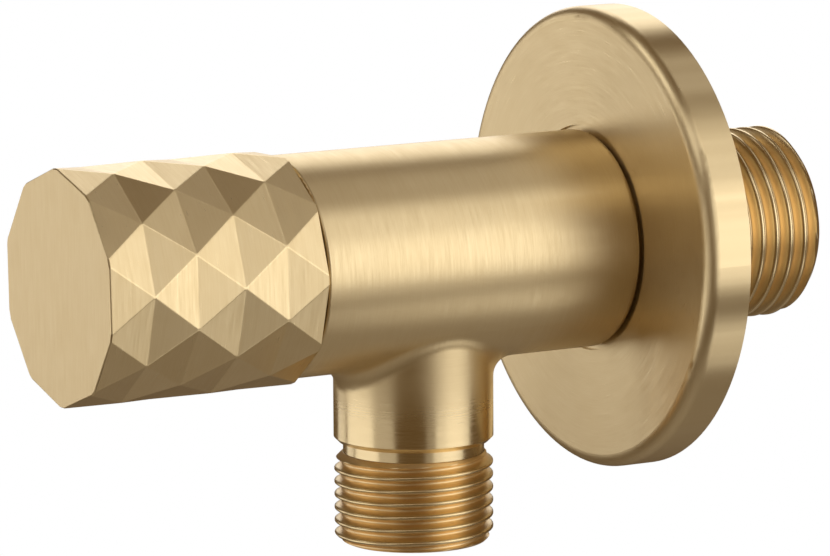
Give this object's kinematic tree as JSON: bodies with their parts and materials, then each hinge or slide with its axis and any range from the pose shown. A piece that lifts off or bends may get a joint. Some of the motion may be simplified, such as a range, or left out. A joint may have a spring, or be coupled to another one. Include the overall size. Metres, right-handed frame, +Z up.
{
  "type": "angle stop valve",
  "caption": "Angle stop valve in brushed gold brass: facet-cut knob with quarter-turn ceramic cartridge, sliding wall flange, 1/2-14 (G1/2) wall inlet, 3/8-18 outlet pointing down.",
  "frame": {"origin": "on the inlet axis where the inlet thread starts, 0.4 mm behind the wall flange's rear rim", "axes": "+Y along the inlet nipple into the wall, -Y out through the knob, +Z up, the outlet points down along -Z"},
  "size_m": [0.0502, 0.088, 0.0561],
  "materials": {
    "brushed_gold": "brushed satin, gold coloured plating",
    "knob_gold": "brushed satin facets, gold coloured plating",
    "plain_brass": "machined",
    "black_rubber": "matte",
    "spring_steel": "satin",
    "white_slide_plastic": "matte",
    "grey_insert_plastic": "matte",
    "disc_ceramic": null
  },
  "bodies": {
    "valve": {"valve_body": "brushed_gold", "cartridge_housing": "plain_brass", "housing_o_ring": "black_rubber", "slide_washer": "white_slide_plastic", "fixed_disc": "disc_ceramic", "seat_seal": "black_rubber", "seal_support_ring": "white_slide_plastic"},
    "handle": {"knob": "knob_gold", "knob_insert": "grey_insert_plastic", "knob_grub_screw": "spring_steel", "spindle": "plain_brass", "spindle_o_ring_front": "black_rubber", "spindle_o_ring_rear": "black_rubber", "stop_ring": "plain_brass", "spindle_circlip": "spring_steel", "moving_disc": "disc_ceramic"},
    "flange": {"wall_flange": "brushed_gold", "flange_o_ring": "black_rubber"}
  },
  "joints": [
    {"name": "knob_turn", "type": "hinge", "parent": "valve", "child": "handle", "pos_m": [0, -0.05, 0], "axis": [0, -1, 0], "range_deg": [0, 90]},
    {"name": "flange_slide", "type": "slide", "parent": "valve", "child": "flange", "axis": [0, 1, 0], "range_m": [0, 0.012]}
  ]
}
